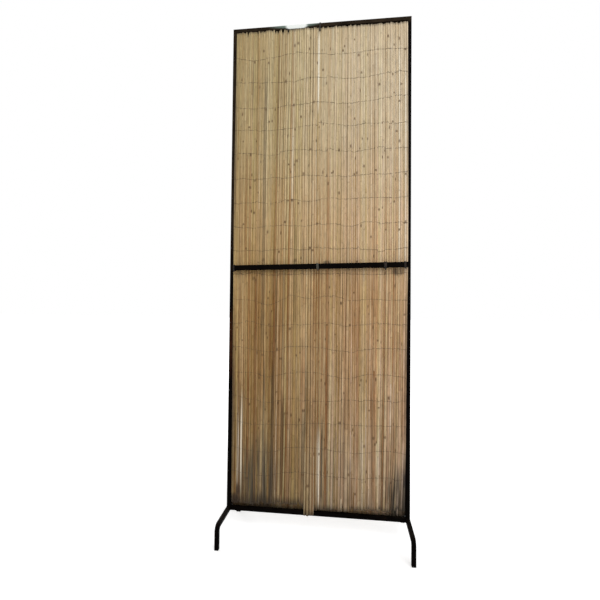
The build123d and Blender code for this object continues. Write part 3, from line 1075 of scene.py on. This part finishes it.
def row_points(z, rng):
    """Points of one row, sagging where the mat sags."""
    slack = rng.uniform(*SLACK)
    points = []
    for step in range(WIRE_POINTS):
        x = -MAT_HALF + 2 * MAT_HALF * step / (WIRE_POINTS - 1)
        sag = sum(depth * exp(-(((x - middle) / reach) ** 2)) for depth, middle, reach in DIPS)
        points.append((x, z - slack * sag + rng.uniform(-WIRE_SCATTER, WIRE_SCATTER)))
    return points


def smooth_height(points, x):
    """Height on a smooth curve through a row's points."""
    zs = [z for _, z in points]
    step = points[1][0] - points[0][0]
    k = min(max(int((x - points[0][0]) / step), 0), len(zs) - 2)
    t = min(max((x - points[k][0]) / step, 0.0), 1.0)
    a, b = zs[k], zs[k + 1]
    slope_a = (b - zs[max(k - 1, 0)]) / 2
    slope_b = (zs[min(k + 2, len(zs) - 1)] - a) / 2
    curve = (2 * t**3 - 3 * t**2 + 1) * a + (3 * t**2 - 2 * t**3) * b
    return curve + (t**3 - 2 * t**2 + t) * slope_a + (t**3 - t**2) * slope_b


def add_wires(name, face, canes, prefix):
    """All rows of one mat, in place of the nodes whose names start with a prefix."""
    lefts, widths = canes
    rng = Random(40 + face)
    nipping = Random(70 + face)
    nodes = sorted(n for n in frame["nodes"] if n.startswith(prefix))
    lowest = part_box(nodes[0])
    below = round((ROW_BASE - (lowest[0][2] + lowest[1][2]) / 2) / WIRE_PITCH)
    tubes = Tubes(WIRE_SIDES)
    for row in range(-below, len(nodes) - below):
        points = row_points(ROW_BASE + row * WIRE_PITCH, rng)
        level = level_at(points[0][1])
        path = []
        stray = 0.0
        for i in range(REED_COUNT):
            left = np.interp(level, LEVELS, lefts[i])
            width = np.interp(level, LEVELS, widths[i])
            thick = min(width * CANE_FLATNESS, REED_THICK)
            crown = face * (FRAME_HALF + thick + WIRE_RADIUS * WIRE_LIFT)
            nip = face * (FRAME_HALF + thick * nipping.choice(NIPS))
            kink = nipping.gauss(0, KINK) if nipping.random() < KINK_SHARE else 0.0
            stray = stray * STRAY_KEPT + nipping.gauss(0, STRAY_STEP) + kink
            for x, y in ((left, nip), *((left + width * share, crown) for share in ON_CANE)):
                path.append((x, y, smooth_height(points, x) + stray + nipping.gauss(0, TREMBLE)))
        tubes.sweep(path, WIRE_RADIUS)
    piece(name, tubes, "binding_wire", nodes)


add_wires("front_binding_wires", FRONT, front_canes, "front_binding_wire")
add_wires("rear_binding_wires", REAR, rear_canes, "rear_binding_wire")


# Ties: wire wound round both clamp bars through the mats, and round the top rail

TIE_BEND = 0.0025
TIE_STAND = 0.001                      # from the bars and the rail to a tie's middle
TIE_Y = BAR_Y + BAR_SIDE / 2 + TIE_STAND
TIE_REACH = BAR_SIDE / 2 + 0.0011
TIE_PITCH = 2.1                        # from one turn to the next, in wire radii
END_TIE_X = PANEL_HALF - TUBE - 0.009
INNER_TIE_X = PANEL_HALF - 0.102
TOP_TIE_LOW = TOP_RAIL_UNDER - 0.021
TOP_TIE_BEND = TOP_RAIL_UNDER - 0.005
MAT_FACE = FRAME_HALF + REED_THICK
TWISTS = 3.5                           # turns of the twisted ends round each other
TWIST_START = 0.004                    # above the loop's low side
TWIST_LEAN = Vector((0.002, -0.0025, 0))
TWIST_STEPS = 24


def rounded_loop(corners):
    """Closed path in (y, z) through corners, each rounded."""
    path = []
    for k, corner in enumerate(corners):
        here = Vector(corner)
        back = (Vector(corners[k - 1]) - here).normalized()
        on = (Vector(corners[(k + 1) % len(corners)]) - here).normalized()
        for t in (0.0, 0.25, 0.5, 0.75, 1.0):
            path.append(here + TIE_BEND * ((1 - t) ** 2 * back + t**2 * on))
    return path


def add_tie(name, x, corners, radius, turns, wander, tail, slot, seed):
    """Some turns of wire round a loop of corners, with its twisted ends hanging at the front."""
    rng = Random(seed)
    tubes = Tubes(8)
    loop = rounded_loop(corners)
    for turn in range(turns):
        shift = (turn - (turns - 1) / 2) * radius * TIE_PITCH + rng.gauss(0, wander)
        slant = rng.gauss(0, wander)
        path = []
        for y, z in loop:
            out = abs(rng.gauss(0, wander * 0.5))
            drift = shift + slant * y / TIE_Y
            path.append((x + drift + rng.gauss(0, wander * 0.3), y + (out if y > 0 else -out), z))
        tubes.sweep(path, radius, closed=True)
    start = Vector((x, min(y for y, _ in corners) - radius, corners[0][1] + TWIST_START))
    lean = TWIST_LEAN - Vector((0, 0, tail))
    for strand in (0.0, pi):
        path = []
        for step in range(TWIST_STEPS + 1):
            t = step / TWIST_STEPS
            turned = strand + 2 * pi * TWISTS * t
            coil = Vector((cos(turned), sin(turned), 0)) * radius * 0.95
            path.append(start + lean * t + coil)
        tubes.sweep(path, radius * 0.9)
    piece(name + "_turns", tubes, slot, (name,))


def bar_corners(x):
    low, high = bar_z(x) - TIE_REACH, bar_z(x) + TIE_REACH
    return (-TIE_Y, low), (-TIE_Y, high), (TIE_Y, high), (TIE_Y, low)


# Name, x, wire radius, turns, how far they wander, length of the twisted ends, slot and seed
BAR_TIES = (
    ("centre_bar_tie", 0.0, 0.0010, 4, 0.0004, 0.012, "tie_wire", 3),
    ("left_bar_tie", -END_TIE_X, 0.0011, 3, 0.0006, 0.010, "dark_tie_wire", 4),
    ("right_bar_tie", END_TIE_X, 0.0011, 3, 0.0006, 0.010, "dark_tie_wire", 5),
    ("inner_right_bar_tie", INNER_TIE_X, 0.0013, 5, 0.0010, 0.014, "dark_tie_wire", 6),
)
for tie_name, tie_x, *wire in BAR_TIES:
    add_tie(tie_name, tie_x, bar_corners(tie_x), *wire)

MAT_SIDE = MAT_FACE + TIE_STAND
RAIL_SIDE = FRAME_HALF + TIE_STAND
TIE_TOP = TOP_RAIL_UNDER + TUBE + TIE_STAND
TOP_CORNERS = (
    (-MAT_SIDE, TOP_TIE_LOW),
    (-MAT_SIDE, TOP_TIE_BEND),
    (-RAIL_SIDE, TIE_TOP),
    (RAIL_SIDE, TIE_TOP),
    (MAT_SIDE, TOP_TIE_BEND),
    (MAT_SIDE, TOP_TIE_LOW),
)
add_tie("top_tie", 0.0, TOP_CORNERS, 0.0009, 3, 0.0004, 0.010, "tie_wire", 7)


# Welds: lumpy beads at the frame's joints, and a blob under the bottom rail

BEAD = 0.0017
MITRE_BEAD = 0.7 * BEAD
BEAD_STEP = 0.0010
INSET = 0.001                          # from a bead's end to the edge
LUMP = ((-0.329, -0.003), (-0.306, -0.003))
LUMP_RADIUS = 0.0052


def add_bead(tubes, start, end, radius, rng):
    """A bead from one point to another, ribbed along its length and tapered at its ends."""
    start, end = Vector(start), Vector(end)
    count = max(9, int((end - start).length / BEAD_STEP))
    path = []
    radii = []
    for k in range(count):
        t = k / (count - 1)
        wander = Vector([rng.gauss(0, radius * 0.08) for _ in range(3)])
        path.append(start.lerp(end, t) + wander)
        ribs = 0.88 + 0.14 * (k % 3) / 2 + rng.uniform(-0.06, 0.06)
        radii.append(radius * ribs * min(1.0, 0.35 + 2.6 * min(t, 1 - t)))
    tubes.sweep(path, radii)


def add_welds():
    rng = Random(9)
    tubes = Tubes(10)
    inner = PANEL_HALF - TUBE
    top = TOP_RAIL_UNDER + TUBE
    for side in (-1, 1):
        for face in (FRONT, REAR):
            y = face * FRAME_HALF
            mitre = (side * (PANEL_HALF - INSET), y, top - INSET), (side * inner, y, TOP_RAIL_UNDER)
            add_bead(tubes, *mitre, MITRE_BEAD, rng)
            post_foot = [(side * (inner + d), y, RAIL_TOP) for d in (INSET, TUBE - INSET)]
            add_bead(tubes, *post_foot, BEAD, rng)
            rail_end = [(side * inner, y, z) for z in (RAIL_UNDER + INSET, RAIL_TOP)]
            add_bead(tubes, *rail_end, BEAD, rng)
        for z in (RAIL_TOP, RAIL_UNDER):
            across_foot = [(side * inner, y, z) for y in (-FRAME_HALF, FRAME_HALF)]
            add_bead(tubes, *across_foot, BEAD, rng)
    lump_ends = [(x, y, RAIL_UNDER) for x, y in LUMP]
    add_bead(tubes, *lump_ends, LUMP_RADIUS, rng)
    piece("weld_beads", tubes, "black_frame")


add_welds()
